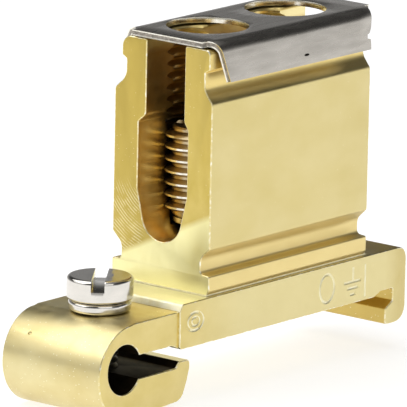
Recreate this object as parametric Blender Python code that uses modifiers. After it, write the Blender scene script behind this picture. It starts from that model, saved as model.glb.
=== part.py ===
"""Earth clamp for a 35 mm top-hat rail: a brass clamp block with two set screws on a brass hooked foot.

X runs along the rail foot, from the flexing jaw (-X) to the fixed hook (+X). Z points up, away from the
rail. The origin is on the foot's underside, where the rail sits, below the middle of the clamp block.
Lengths are in millimetres until they reach Blender, where MM turns them into metres.
"""

import math

import bmesh
import bpy
from mathutils import Euler, Matrix, Vector

MM = 0.001

# Assembly
SEAT_GAP = 0.1  # left between pieces that rest on each other
SLIDE_GAP = 0.05  # radial room around a turning or sliding piece
ROUND_STEPS = 48  # sides of a large turned piece
ARC_STEP_DEG = 15.0  # sweep of one side of a rounded corner

# Rail foot, as a profile in XZ
FOOT_TOP = 4.75
FOOT_HALF_WIDTH = 6.75
FOOT_LEFT = -17.4
HOOK_RIGHT = 19.6
HOOK_BOTTOM = -3.3
HOOK_LIP_FACE = 16.2
HOOK_LIP_TOP = -1.6
POCKET_WALL = 17.45
POCKET_TOP = 0.5
NECK_HALF_WIDTH = 6.5
NECK_TOP = 4.0
NECK_UNDERSIDE = 0.55
ROLL_CENTRE = (-25.27, -1.08)
ROLL_RADIUS = 4.97
RELIEF_CENTRE = (-26.2, -0.6)
RELIEF_RADIUS = 2.6
JAW_FLOOR = -1.9
JAW_TIP = -15.8
NOSE_TOP = -1.28
NOSE_BACK = -17.5

# Clamp block, as a profile in YZ
BLOCK_LENGTH = 26.0
BLOCK_BASE = FOOT_TOP + SEAT_GAP
BLOCK_TOP = 30.5
BLOCK_HALF_WIDTH = 6.5
FLANGE_BASE_HALF = 6.15
FLANGE_TOP = 6.85
BASE_GROOVE_HALF = 5.3
BASE_GROOVE_TOP = 8.55
WALL_BOTTOM = 9.7
WALL_TOP = 24.9
NECK_GROOVE_HALF = 5.25
NECK_GROOVE_BOTTOM = 26.2
NECK_GROOVE_TOP = 28.05
HEAD_HALF_WIDTH = 5.85
HEAD_BOTTOM = 28.4
NEAR_HEAD_EDGE = 0.6
FAR_HEAD_EDGE = 1.2
HEAD_SHIFT_Y = -0.22  # the heads and the slot stand a little to one side of the base
SLOT_HALF_WIDTH = 2.55
SLOT_BOTTOM = 22.5
CHAMBER_HALF_WIDTH = 3.3
CHAMBER_TOP = 21.7
CHAMBER_WALL_BOTTOM = 14.7
CHAMBER_FLOOR = 9.5
CHAMBER_FLOOR_RADIUS = 2.6
RIVET_X = (-7.0, 7.0)
RIVET_RADIUS = 2.0
RIVET_FLARE = 0.7  # the staked head widens by this much over the same height

# Clamp screws, M8 x 10 with a pressure tip
CLAMP_SCREW_X = (-6.35, 6.35)
CLAMP_SCREW_RADIUS = 4.0
CLAMP_SCREW_TOP = 20.9
CLAMP_SCREW_BOTTOM = 11.4
SCREW_CHAMFER = 0.65
CLAMP_SLOT_WIDTH = 1.3
CLAMP_SLOT_DEPTH = 2.4
TIP_BORE_RADIUS = 1.3
TIP_BORE_TOP = 13.2
TIP_RADIUS = 3.1
TIP_TOP = CLAMP_SCREW_BOTTOM - SEAT_GAP
TIP_BOTTOM = 10.6
TIP_CHAMFER = 0.3
DRILL_POINT_RADIUS = 3.4

# Strap over the clamp block's two heads
STRAP_THICKNESS = 0.6
STRAP_TOP = 31.32
STRAP_SHIFT_X = 0.24  # the blank stands a little towards the hook of its holes
STRAP_FLAT_HALF_LENGTH = 13.7
STRAP_BEND_HALF_LENGTH = 12.8
STRAP_LIP_HALF_LENGTH = 12.2
STRAP_LIP_END_HALF_LENGTH = 11.6
STRAP_BOTTOM = 27.3
STRAP_FRONT_Y = -6.95
STRAP_FRONT_BEND = 1.4
STRAP_FRONT_SPLAY_DEG = 12.0  # the front lip stands a little open
STRAP_BACK_Y = 6.35
STRAP_BACK_BEND = 2.1
STRAP_NOTCH = 0.15  # width of the step where each bend starts
STRAP_HOLE_RADIUS = 4.3

# Rail screw, M4 x 10 cheese head, with its captive spring washer
RAIL_SCREW_X = -22.6
RAIL_SCREW_RADIUS = 2.0
RAIL_SCREW_BOTTOM = -5.0
RAIL_HEAD_RADIUS = 3.45
RAIL_HEAD_BOTTOM = 5.3
RAIL_HEAD_TOP = 7.65
RAIL_HEAD_EDGE = 0.35
RAIL_SLOT_WIDTH = 1.4
RAIL_SLOT_DEPTH = 1.1
RAIL_SLOT_ANGLE_DEG = 36.0
NECK_HOLE_RADIUS = 2.25
WASHER_INNER_RADIUS = 2.12
WASHER_OUTER_RADIUS = 3.25
WASHER_BOTTOM = NECK_TOP + SLIDE_GAP
WASHER_TOP = RAIL_HEAD_BOTTOM - SEAT_GAP
WASHER_EDGE = 0.3
WASHER_SPLIT = 0.35
WASHER_SPLIT_ANGLE_DEG = 250.0


def clear_scene():
    for thing in list(bpy.data.objects):
        bpy.data.objects.remove(thing, do_unlink=True)


def make_collection(name):
    collection = bpy.data.collections.new(name)
    bpy.context.scene.collection.children.link(collection)
    return collection


def make_material(name, colour, roughness):
    material = bpy.data.materials.new(name)
    material.use_nodes = True
    shader = material.node_tree.nodes["Principled BSDF"]
    shader.inputs["Base Color"].default_value = (*colour, 1.0)
    shader.inputs["Roughness"].default_value = roughness
    shader.inputs["Metallic"].default_value = 1.0
    return material


def arc(centre, radius, start_deg, end_deg):
    """Points on an arc, both ends included."""
    steps = max(2, round(abs(end_deg - start_deg) / ARC_STEP_DEG))
    points = []
    for i in range(steps + 1):
        angle = math.radians(start_deg + (end_deg - start_deg) * i / steps)
        points.append((centre[0] + radius * math.cos(angle), centre[1] + radius * math.sin(angle)))
    return points


def rounded(corners):
    """An outline from corners (x, y) or (x, y, radius): each radius becomes an arc tangent to both sides."""
    outline = []
    for i, corner in enumerate(corners):
        here = Vector(corner[:2])
        if len(corner) == 2:
            outline.append(tuple(here))
            continue
        before = (Vector(corners[i - 1][:2]) - here).normalized()
        after = (Vector(corners[(i + 1) % len(corners)][:2]) - here).normalized()
        half = before.angle(after) / 2
        to_centre = (before + after).normalized() * (corner[2] / math.sin(half))
        centre = here + to_centre
        start = here + before * (corner[2] / math.tan(half)) - centre
        end = here + after * (corner[2] / math.tan(half)) - centre
        sweep = math.degrees(math.atan2(start.x * end.y - start.y * end.x, start.dot(end)))
        start_deg = math.degrees(math.atan2(start.y, start.x))
        outline += arc(centre, corner[2], start_deg, start_deg + sweep)
    return outline


def add_object(name, mesh, collection, material=None):
    thing = bpy.data.objects.new(name, mesh)
    collection.objects.link(thing)
    if material:
        mesh.materials.append(material)
    mesh.shade_smooth()
    mesh.set_sharp_from_angle(angle=math.radians(35))
    return thing


def extruded(name, outline, width, turn, collection, material=None):
    """A flat outline, extruded by width around its own plane and turned into place, as a closed mesh."""
    curve = bpy.data.curves.new(name, "CURVE")
    curve.dimensions = "2D"
    curve.fill_mode = "BOTH"
    curve.extrude = width * MM / 2
    spline = curve.splines.new("POLY")
    spline.points.add(len(outline) - 1)
    for point, (x, y) in zip(spline.points, outline):
        point.co = (x * MM, y * MM, 0, 1)
    spline.use_cyclic_u = True
    flat = bpy.data.objects.new(name + "_curve", curve)
    bpy.context.scene.collection.objects.link(flat)
    bpy.context.view_layer.update()
    mesh = bpy.data.meshes.new_from_object(flat.evaluated_get(bpy.context.evaluated_depsgraph_get()))
    bpy.data.objects.remove(flat, do_unlink=True)
    bpy.data.curves.remove(curve)
    close_mesh(mesh)
    mesh.transform(turn.to_matrix().to_4x4())
    mesh.name = name
    return add_object(name, mesh, collection, material)


def close_mesh(mesh):
    """Welds loose caps to their sides and points every face out."""
    shape = bmesh.new()
    shape.from_mesh(mesh)
    bmesh.ops.remove_doubles(shape, verts=shape.verts, dist=0.001 * MM)
    bmesh.ops.recalc_face_normals(shape, faces=shape.faces)
    shape.to_mesh(mesh)
    shape.free()


def turned(name, profile, collection, material=None, closed=False, steps=ROUND_STEPS):
    """A profile of (radius, height) points, run down its outer side, turned around Z."""
    mesh = bpy.data.meshes.new(name)
    points = [(radius * MM, 0, height * MM) for radius, height in profile]
    edges = [(i, i + 1) for i in range(len(points) - 1)]
    if closed:
        edges.append((len(points) - 1, 0))
    mesh.from_pydata(points, edges, [])
    thing = add_object(name, mesh, collection, material)
    screw = thing.modifiers.new("turn", "SCREW")
    screw.axis = "Z"
    screw.steps = steps
    screw.render_steps = steps
    screw.use_merge_vertices = True
    screw.merge_threshold = 0.001 * MM
    screw.use_smooth_shade = True
    return thing


def block_cutter(name, size, place, turn_deg, collection):
    """A box that cuts, with its middle at place and turned about Z."""
    shape = bmesh.new()
    bmesh.ops.create_cube(shape, size=1.0)
    bmesh.ops.scale(shape, vec=[side * MM for side in size], verts=shape.verts)
    mesh = bpy.data.meshes.new(name)
    shape.to_mesh(mesh)
    shape.free()
    thing = bpy.data.objects.new(name, mesh)
    collection.objects.link(thing)
    thing.location = [value * MM for value in place]
    thing.rotation_euler = (0, 0, math.radians(turn_deg))
    hide_guide(thing)
    return thing


def hide_guide(thing):
    thing.hide_render = True
    thing.display_type = "WIRE"


def round_cutter(name, profile, place, collection):
    """A turned shape that cuts, standing at place = (x, y)."""
    thing = turned(name, profile, collection)
    thing.location = (place[0] * MM, place[1] * MM, 0)
    hide_guide(thing)
    return thing


def boolean(thing, other, operation="DIFFERENCE"):
    modifier = thing.modifiers.new(other.name, "BOOLEAN")
    modifier.operation = operation
    modifier.solver = "EXACT"
    modifier.object = other


def middle_outline():
    """The foot's middle and its hook, from the step at the neck around to the rail seat."""
    return rounded(
        [
            (FOOT_LEFT - 0.4, NECK_TOP - 0.6),
            (FOOT_LEFT - 0.4, NECK_TOP),
            (FOOT_LEFT, FOOT_TOP, 0.4),
            (HOOK_RIGHT, FOOT_TOP, 1.3),
            (HOOK_RIGHT, HOOK_BOTTOM, 1.7),
            (HOOK_LIP_FACE, HOOK_BOTTOM, 0.4),
            (HOOK_LIP_FACE, HOOK_LIP_TOP, 0.12),
            (POCKET_WALL, -0.85, 0.15),
            (POCKET_WALL, POCKET_TOP, 0.2),
            (15.4, POCKET_TOP, 0.5),
            (14.3, 0.0, 0.6),
            (FOOT_LEFT, 0.0, 0.1),
            (FOOT_LEFT - 0.4, 0.25),
        ]
    )


def neck_outline():
    """The neck, the rolled end and the jaw, around the slot that parts the jaw from the neck."""
    top_tangent = arc(ROLL_CENTRE, ROLL_RADIUS, 90, 262)
    slot_meets_relief = math.degrees(math.asin((NECK_UNDERSIDE - RELIEF_CENTRE[1]) / RELIEF_RADIUS))
    floor_meets_relief = math.degrees(math.asin((JAW_FLOOR - RELIEF_CENTRE[1]) / RELIEF_RADIUS))
    relief = arc(RELIEF_CENTRE, RELIEF_RADIUS, 360 + floor_meets_relief, slot_meets_relief)
    jaw = rounded(
        [
            top_tangent[-1],
            (-17.0, -5.45, 1.5),
            (-16.2, -3.5, 1.0),
            (JAW_TIP, -2.2, 0.8),
            (JAW_TIP, NOSE_TOP, 0.5),
            (NOSE_BACK, NOSE_TOP, 0.25),
            (NOSE_BACK - 0.6, JAW_FLOOR, 0.3),
            relief[0],
        ]
    )
    upper = rounded(
        [
            relief[-1],
            (FOOT_LEFT - 1.3, NECK_UNDERSIDE, 0.4),
            (FOOT_LEFT - 0.1, 0.05),
            (FOOT_LEFT + 1.5, 0.05),
            (FOOT_LEFT + 1.5, NECK_TOP),
            (ROLL_CENTRE[0] + 0.5, NECK_TOP),
        ]
    )
    return top_tangent[:-1] + jaw[:-1] + relief[:-1] + upper


def make_rail_foot(parts, cutters, brass):
    across = Euler((math.radians(90), 0, 0))
    foot = extruded("rail_foot", middle_outline(), 2 * FOOT_HALF_WIDTH, across, parts, brass)
    neck = extruded("neck", neck_outline(), 2 * NECK_HALF_WIDTH, across, cutters)
    hide_guide(neck)
    boolean(foot, neck, "UNION")
    hole = [(0, 8), (NECK_HOLE_RADIUS, 8), (NECK_HOLE_RADIUS, -0.7), (0, -0.7)]
    boolean(foot, round_cutter("neck_hole", hole, (RAIL_SCREW_X, 0), cutters))
    jaw_radius = RAIL_SCREW_RADIUS + SLIDE_GAP
    hole = [(0, -0.9), (jaw_radius, -0.9), (jaw_radius, -8), (0, -8)]
    boolean(foot, round_cutter("jaw_hole", hole, (RAIL_SCREW_X, 0), cutters))
    shank = RIVET_RADIUS + SLIDE_GAP
    seat_height = RIVET_FLARE + 2 * SEAT_GAP
    wide = shank + seat_height
    seat = [(0, 6), (shank, 6), (shank, seat_height), (wide, 0), (wide, -1), (0, -1)]
    for number, x in enumerate(RIVET_X, 1):
        boolean(foot, round_cutter(f"rivet_hole_{number}", seat, (x, 0), cutters))
    return foot


def block_half(shift, head_edge):
    """One side of the clamp block's section, from its base up and over the head to the chamber's floor."""
    floor_centre = (0, CHAMBER_FLOOR + CHAMBER_FLOOR_RADIUS)
    floor = arc(floor_centre, CHAMBER_FLOOR_RADIUS, -8, -90)
    side = rounded(
        [
            (0, BLOCK_BASE),
            (FLANGE_BASE_HALF, BLOCK_BASE, 0.1),
            (BLOCK_HALF_WIDTH, BLOCK_BASE + 1.3, 0.2),
            (BLOCK_HALF_WIDTH, FLANGE_TOP, 0.2),
            (BASE_GROOVE_HALF, FLANGE_TOP + 0.1, 0.15),
            (BASE_GROOVE_HALF, BASE_GROOVE_TOP, 0.4),
            (BLOCK_HALF_WIDTH, WALL_BOTTOM, 0.3),
            (BLOCK_HALF_WIDTH, WALL_TOP, 0.9),
            (NECK_GROOVE_HALF + shift, NECK_GROOVE_BOTTOM, 0.6),
            (NECK_GROOVE_HALF + shift, NECK_GROOVE_TOP, 0.1),
            (HEAD_HALF_WIDTH + shift, HEAD_BOTTOM, 0.2),
            (HEAD_HALF_WIDTH + shift, BLOCK_TOP, head_edge),
            (SLOT_HALF_WIDTH + shift, BLOCK_TOP, 0.25),
            (SLOT_HALF_WIDTH + shift, SLOT_BOTTOM, 0.8),
            (CHAMBER_HALF_WIDTH, CHAMBER_TOP, 0.4),
            (CHAMBER_HALF_WIDTH, CHAMBER_WALL_BOTTOM, 0.8),
            floor[0],
        ]
    )
    return side[1:] + floor[1:-1]


def block_outline():
    """The clamp block's section: a deep U with a chamber, grooves outside, and a flange at the base."""
    near = [(-y, z) for y, z in reversed(block_half(-HEAD_SHIFT_Y, NEAR_HEAD_EDGE))]
    return block_half(HEAD_SHIFT_Y, FAR_HEAD_EDGE) + [(0, CHAMBER_FLOOR)] + near


def make_clamp_block(parts, cutters, brass):
    along = Euler((math.radians(90), 0, math.radians(90)))
    block = extruded("clamp_block", block_outline(), BLOCK_LENGTH, along, parts, brass)
    thread = CLAMP_SCREW_RADIUS + SLIDE_GAP
    bore = [
        (0, 40),
        (thread, 40),
        (thread, CLAMP_SCREW_BOTTOM - 0.2),
        (DRILL_POINT_RADIUS, CLAMP_SCREW_BOTTOM - 0.6),
        (DRILL_POINT_RADIUS, TIP_BOTTOM - 0.2),
        (0, TIP_BOTTOM - 0.2),
    ]
    for number, x in enumerate(CLAMP_SCREW_X, 1):
        boolean(block, round_cutter(f"screw_bore_{number}", bore, (x, 0), cutters))
    rivet = [
        (0, BLOCK_BASE + 1.5),
        (RIVET_RADIUS, BLOCK_BASE + 1.5),
        (RIVET_RADIUS, RIVET_FLARE + SEAT_GAP),
        (RIVET_RADIUS + RIVET_FLARE, SEAT_GAP),
        (0, SEAT_GAP),
    ]
    for number, x in enumerate(RIVET_X, 1):
        boolean(block, round_cutter(f"rivet_{number}", rivet, (x, 0), cutters), "UNION")
    return block


def strap_bend(y, z, radius, start_deg, end_deg, start_half, end_half):
    """One rounded bend of the strap's outer face, as (y, z, half length) rows."""
    points = arc((y, z), radius, start_deg, end_deg)
    step = (end_half - start_half) / (len(points) - 1)
    return [(*point, start_half + step * i) for i, point in enumerate(points)]


def strap_section():
    """The outer face from the front lip's end over the top to the back lip, as (y, z, half length) rows."""
    lip, bend, flat = STRAP_LIP_HALF_LENGTH, STRAP_BEND_HALF_LENGTH, STRAP_FLAT_HALF_LENGTH
    front_y = STRAP_FRONT_Y + STRAP_FRONT_BEND
    front_z = STRAP_TOP - STRAP_FRONT_BEND
    back_y = STRAP_BACK_Y - STRAP_BACK_BEND
    back_z = STRAP_TOP - STRAP_BACK_BEND
    front = strap_bend(front_y, front_z, STRAP_FRONT_BEND, 180 - STRAP_FRONT_SPLAY_DEG, 90, lip, bend)
    back = strap_bend(back_y, back_z, STRAP_BACK_BEND, 90, 0, bend, STRAP_LIP_END_HALF_LENGTH)
    drop = front[0][1] - STRAP_BOTTOM
    front_end = front[0][0] - drop * math.tan(math.radians(STRAP_FRONT_SPLAY_DEG))
    return [
        (front_end, STRAP_BOTTOM, STRAP_LIP_END_HALF_LENGTH),
        *front,
        (front_y + STRAP_NOTCH, STRAP_TOP, flat),
        (back_y - STRAP_NOTCH, STRAP_TOP, flat),
        *back,
        (STRAP_BACK_Y, STRAP_BOTTOM, STRAP_LIP_END_HALF_LENGTH),
    ]


def make_cap_strap(parts, cutters, steel):
    """A bent sheet: rows of two points across the sheet, joined into faces, then given its thickness."""
    shape = bmesh.new()
    rows = []
    for y, z, half in strap_section():
        ends = (STRAP_SHIFT_X - half, STRAP_SHIFT_X + half)
        rows.append([shape.verts.new((x * MM, y * MM, z * MM)) for x in ends])
    for (a, b), (c, d) in zip(rows, rows[1:]):
        shape.faces.new((a, b, d, c))
    mesh = bpy.data.meshes.new("cap_strap")
    shape.to_mesh(mesh)
    shape.free()
    strap = add_object("cap_strap", mesh, parts, steel)
    solidify = strap.modifiers.new("thickness", "SOLIDIFY")
    solidify.thickness = STRAP_THICKNESS * MM
    solidify.offset = -1.0
    solidify.use_even_offset = True
    hole = [(0, 40), (STRAP_HOLE_RADIUS, 40), (STRAP_HOLE_RADIUS, 29), (0, 29)]
    for number, x in enumerate(CLAMP_SCREW_X, 1):
        boolean(strap, round_cutter(f"strap_hole_{number}", hole, (x, HEAD_SHIFT_Y), cutters))
    return strap


def make_clamp_screw(number, x, parts, cutters, steel):
    profile = [
        (0, CLAMP_SCREW_TOP),
        (CLAMP_SCREW_RADIUS - SCREW_CHAMFER, CLAMP_SCREW_TOP),
        (CLAMP_SCREW_RADIUS, CLAMP_SCREW_TOP - SCREW_CHAMFER),
        (CLAMP_SCREW_RADIUS, CLAMP_SCREW_BOTTOM + SCREW_CHAMFER),
        (CLAMP_SCREW_RADIUS - SCREW_CHAMFER, CLAMP_SCREW_BOTTOM),
        (TIP_BORE_RADIUS, CLAMP_SCREW_BOTTOM),
        (TIP_BORE_RADIUS, TIP_BORE_TOP),
        (0, TIP_BORE_TOP),
    ]
    screw = turned(f"clamp_screw_{number}", profile, parts, steel)
    screw.location.x = x * MM
    size = (CLAMP_SLOT_WIDTH, 2.5 * CLAMP_SCREW_RADIUS, 2 * CLAMP_SLOT_DEPTH)
    place = (x, 0, CLAMP_SCREW_TOP)
    boolean(screw, block_cutter(f"clamp_slot_{number}", size, place, -30 + 50 * number, cutters))
    return screw


def make_pressure_tip(number, x, parts, steel):
    profile = [
        (0, TIP_BORE_TOP - 0.2),
        (TIP_BORE_RADIUS - SLIDE_GAP, TIP_BORE_TOP - 0.2),
        (TIP_BORE_RADIUS - SLIDE_GAP, TIP_TOP),
        (TIP_RADIUS, TIP_TOP),
        (TIP_RADIUS, TIP_BOTTOM + TIP_CHAMFER),
        (TIP_RADIUS - TIP_CHAMFER, TIP_BOTTOM),
        (0, TIP_BOTTOM),
    ]
    tip = turned(f"pressure_tip_{number}", profile, parts, steel, steps=32)
    tip.location.x = x * MM
    return tip


def make_rail_screw(parts, cutters, nickel):
    profile = [
        (0, RAIL_HEAD_TOP),
        *arc((RAIL_HEAD_RADIUS - RAIL_HEAD_EDGE, RAIL_HEAD_TOP - RAIL_HEAD_EDGE), RAIL_HEAD_EDGE, 90, 0),
        (RAIL_HEAD_RADIUS, RAIL_HEAD_BOTTOM + 0.15),
        (RAIL_HEAD_RADIUS - 0.15, RAIL_HEAD_BOTTOM),
        (RAIL_SCREW_RADIUS, RAIL_HEAD_BOTTOM),
        (RAIL_SCREW_RADIUS, RAIL_SCREW_BOTTOM + 0.4),
        (RAIL_SCREW_RADIUS - 0.4, RAIL_SCREW_BOTTOM),
        (0, RAIL_SCREW_BOTTOM),
    ]
    screw = turned("rail_screw", profile, parts, nickel)
    screw.location.x = RAIL_SCREW_X * MM
    size = (3 * RAIL_HEAD_RADIUS, RAIL_SLOT_WIDTH, 2 * RAIL_SLOT_DEPTH)
    place = (RAIL_SCREW_X, 0, RAIL_HEAD_TOP)
    boolean(screw, block_cutter("rail_screw_slot", size, place, RAIL_SLOT_ANGLE_DEG, cutters))
    return screw


def make_spring_washer(parts, cutters, nickel):
    """A split ring of rounded section, captive under the rail screw's head."""
    section = rounded(
        [
            (WASHER_INNER_RADIUS, WASHER_TOP, 0.1),
            (WASHER_OUTER_RADIUS, WASHER_TOP, WASHER_EDGE),
            (WASHER_OUTER_RADIUS, WASHER_BOTTOM, WASHER_EDGE),
            (WASHER_INNER_RADIUS, WASHER_BOTTOM, 0.1),
        ]
    )
    washer = turned("spring_washer", section, parts, nickel, closed=True)
    washer.location.x = RAIL_SCREW_X * MM
    middle = (WASHER_INNER_RADIUS + WASHER_OUTER_RADIUS) / 2
    angle = math.radians(WASHER_SPLIT_ANGLE_DEG)
    place = (
        RAIL_SCREW_X + middle * math.cos(angle),
        middle * math.sin(angle),
        (WASHER_TOP + WASHER_BOTTOM) / 2,
    )
    cutter = block_cutter("washer_split", (3.0, WASHER_SPLIT, 3.0), place, WASHER_SPLIT_ANGLE_DEG, cutters)
    cutter.rotation_euler.x = math.radians(20)
    boolean(washer, cutter)
    return washer


def main():
    clear_scene()
    parts = make_collection("earth_clamp")
    cutters = make_collection("cutters")
    brass = make_material("brass", (0.80, 0.66, 0.30), 0.32)
    steel = make_material("bright_steel", (0.62, 0.60, 0.57), 0.30)
    nickel = make_material("nickel_plate", (0.82, 0.80, 0.77), 0.18)
    make_rail_foot(parts, cutters, brass)
    make_clamp_block(parts, cutters, brass)
    make_cap_strap(parts, cutters, steel)
    for number, x in enumerate(CLAMP_SCREW_X, 1):
        make_clamp_screw(number, x, parts, cutters, steel)
        make_pressure_tip(number, x, parts, steel)
    make_rail_screw(parts, cutters, nickel)
    make_spring_washer(parts, cutters, nickel)


main()
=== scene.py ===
"""Studio scene of the earth clamp: detailed pieces for the CAD solids, with metals, lights and camera.

Places are in the CAD's own frame. Lengths are in millimetres until MM turns them into metres.
"""

import math

import bmesh
import bpy
from mathutils import Euler, Matrix, Vector


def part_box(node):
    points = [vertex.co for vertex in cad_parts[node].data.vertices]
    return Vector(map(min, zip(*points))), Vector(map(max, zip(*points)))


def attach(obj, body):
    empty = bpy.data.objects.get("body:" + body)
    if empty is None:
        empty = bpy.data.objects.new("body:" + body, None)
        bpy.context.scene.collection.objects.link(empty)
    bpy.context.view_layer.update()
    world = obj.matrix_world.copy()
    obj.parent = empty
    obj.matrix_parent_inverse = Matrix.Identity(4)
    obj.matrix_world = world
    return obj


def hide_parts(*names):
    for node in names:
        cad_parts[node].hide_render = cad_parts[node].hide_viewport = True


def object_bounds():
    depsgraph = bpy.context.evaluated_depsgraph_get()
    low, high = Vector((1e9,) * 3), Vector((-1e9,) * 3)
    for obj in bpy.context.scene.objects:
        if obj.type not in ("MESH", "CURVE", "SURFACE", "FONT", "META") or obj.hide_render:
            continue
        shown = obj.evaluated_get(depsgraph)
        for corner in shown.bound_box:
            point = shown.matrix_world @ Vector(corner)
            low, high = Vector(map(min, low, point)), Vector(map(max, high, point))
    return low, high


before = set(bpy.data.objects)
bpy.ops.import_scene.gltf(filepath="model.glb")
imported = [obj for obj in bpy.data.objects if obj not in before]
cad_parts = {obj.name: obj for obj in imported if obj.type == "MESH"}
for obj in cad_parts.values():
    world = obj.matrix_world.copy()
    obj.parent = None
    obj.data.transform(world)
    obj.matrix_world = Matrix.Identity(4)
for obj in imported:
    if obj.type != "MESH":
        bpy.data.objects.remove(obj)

cad_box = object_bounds()

MM = 0.001


def span(node):
    """Lowest and highest corner of a CAD node, in millimetres."""
    low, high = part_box(node)
    return low / MM, high / MM


def middle_x(node):
    low, high = span(node)
    return (low.x + high.x) / 2


foot_low, foot_high = span("rail_foot")
block_low, block_high = span("clamp_block")
strap_low, strap_high = span("cap_strap")
rail_screw_low, rail_screw_high = span("rail_screw")
washer_low, washer_high = span("spring_washer")
screw_low, screw_high = span("clamp_screw_1")
tip_low, tip_high = span("pressure_tip_1")

# Rail foot, as a profile in XZ
FOOT_TOP = 4.75
FOOT_LEFT = -17.4
HOOK_LIP_FACE = 16.2
HOOK_LIP_TOP = -1.6
POCKET_WALL = 17.45
POCKET_TOP = 0.5
HOOK_BOTTOM = -3.3
SEAT_RIGHT = 14.3
POCKET_LEFT = 15.4
STEP_LENGTH = 0.4  # how far the slope between neck and middle runs along X
NECK_HALF_WIDTH = 6.5
NECK_TOP = 4.0
NECK_UNDERSIDE = 0.55
ROLL_CENTRE = (-25.27, -1.08)
ROLL_RADIUS = 4.97
RELIEF_CENTRE = (-26.2, -0.6)
RELIEF_RADIUS = 2.6
JAW_BOTTOM = -5.45
JAW_FLOOR = -1.9
JAW_TIP = -15.8
NOSE_TOP = -1.28
NOSE_BACK = -17.5
NECK_HOLE_RADIUS = 2.25
ROLL_DENT = (-29.2, 3.75, 2.1)
DENT_RADIUS = 0.25
MARK_RISE = 0.08  # the coined grooves' centre above the near face

# Clamp block, as a profile in YZ
BLOCK_BASE = 4.77
BURR_HALF_WIDTH = 6.32
BURR_HEIGHT = 0.16
BURR_REACH = 0.15
BLOCK_HALF_WIDTH = 6.5
FLANGE_BASE_HALF = 6.15
FLANGE_TOP = 6.85
BASE_GROOVE_HALF = 5.3
BASE_GROOVE_TOP = 8.55
WALL_BOTTOM = 9.7
WALL_TOP = 24.9
NECK_GROOVE_HALF = 5.25
NECK_GROOVE_BOTTOM = 26.2
NECK_GROOVE_TOP = 28.05
HEAD_HALF_WIDTH = 5.85
HEAD_BOTTOM = 28.4
NEAR_HEAD_EDGE = 0.6
FAR_HEAD_EDGE = 1.2
HEAD_SHIFT_Y = -0.22
SLOT_HALF_WIDTH = 2.55
SLOT_BOTTOM = 22.5
CHAMBER_HALF_WIDTH = 3.3
CHAMBER_TOP = 21.7
CHAMBER_WALL_BOTTOM = 14.7
CHAMBER_FLOOR = 9.5
CHAMBER_FLOOR_RADIUS = 2.6
BORE_HALF_WIDTH = 4.2  # just outside the tapped holes
RIVET_X = (-7.0, 7.0)
RIVET_RADIUS = 2.0
RIVET_FLARE = 0.7
RIVET_ROOT = 1.5  # how far each rivet runs up into the block
SEAT_GAP = 0.1

# Threads
M8_PITCH = 1.25
M8_CREST = 3.97
M8_ROOT = 3.22
M4_PITCH = 0.7
M4_CREST = 1.98
M4_ROOT = 1.56
THREAD_GAP = 0.07
TAP_RUNOUT = 0.2
DRILL_POINT_RADIUS = 3.38

# Clamp screws
DRIVER_SLOT = (1.3, 12.0, 4.8)  # half of its height lies over the screw
SCREW_END_CUT = 0.9
TIP_BORE_RADIUS = 1.3
TIP_BORE_TOP = 13.2

# Rail screw and washer
HEAD_ROUNDING = 0.42
HEAD_FOOT_ROUNDING = 0.22
HEAD_SLOT = (10.5, 1.4, 2.2)  # half of its height lies over the head
HEAD_SLOT_TURN_DEG = 36.0
SHANK_TOP = 3.3
WASHER_INNER_RADIUS = 2.12
WASHER_SPLIT = (3.0, 0.35, 3.0)
WASHER_SPLIT_TURN_DEG = 40
WASHER_SPLIT_TILT_DEG = 20

# Strap
STRAP_THICKNESS = 0.6
STRAP_SHIFT_X = 0.24
STRAP_FLAT_HALF_LENGTH = 13.7
STRAP_BEND_HALF_LENGTH = 12.8
STRAP_LIP_HALF_LENGTH = 12.2
STRAP_LIP_END_HALF_LENGTH = 11.6
STRAP_FRONT_Y = -6.95
STRAP_FRONT_BEND = 1.4
STRAP_FRONT_SPLAY_DEG = 12.0
STRAP_BACK_Y = 6.35
STRAP_BACK_BEND = 2.1
STRAP_NOTCH = 0.15
STRAP_HOLE_RADIUS = 4.3
STRAP_COLUMNS = 12
RIM_LINE = 0.13  # the bright line along each side of the strap's cut edge
RIM_DEPTH = 0.06
LIP_NICK = (1.2, -7.32, 28.15)
LIP_NICK_RADII = (0.42, 0.3, 0.13)

EDGE = 0.12  # rounding of a cut edge
SAWN_SLANT = (25, 0, 0)  # turn of the line above which the saw marks start
MILLING_CENTRE = (0, 0, 17.5)  # of the arcs on the block's ends
ARC_STEP_DEG = 7.5
ROUND_STEPS = 96
BEVEL_ANGLE_DEG = 50.0  # edges sharper than this are rounded
SMOOTH_DEG = 32.0  # edges sharper than this stay sharp in the shading
FACING = 0.97  # a normal with more than this along an axis faces along it

# Heights where cutters end, clear of the metal
TAP_TOP = 33.0
STRAP_HOLE_TOP = 40.0
STRAP_HOLE_BOTTOM = 29.0
NECK_HOLE_TOP = 8.0
NECK_HOLE_BOTTOM = -0.7
JAW_TAP_TOP = -0.9
JAW_TAP_BOTTOM = -8.0
RIVET_SEAT_TOP = 6.0
RIVET_SEAT_BOTTOM = -1.0
TIP_BORE_BOTTOM = 8.0

# Places in the lists of metals
OUTSIDE, CUT_FACE, INSIDE, CUT_EDGE, COINED_AND_HIGHLIGHT = range(5)  # block and foot
TORN, RIM, SHADE = 1, 2, 3  # strap


# ---------------------------------------------------------------- shapes


def arc(centre, radius, start_deg, end_deg):
    """Points on an arc, both ends included."""
    steps = max(2, round(abs(end_deg - start_deg) / ARC_STEP_DEG))
    points = []
    for i in range(steps + 1):
        angle = math.radians(start_deg + (end_deg - start_deg) * i / steps)
        points.append((centre[0] + radius * math.cos(angle), centre[1] + radius * math.sin(angle)))
    return points


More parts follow.
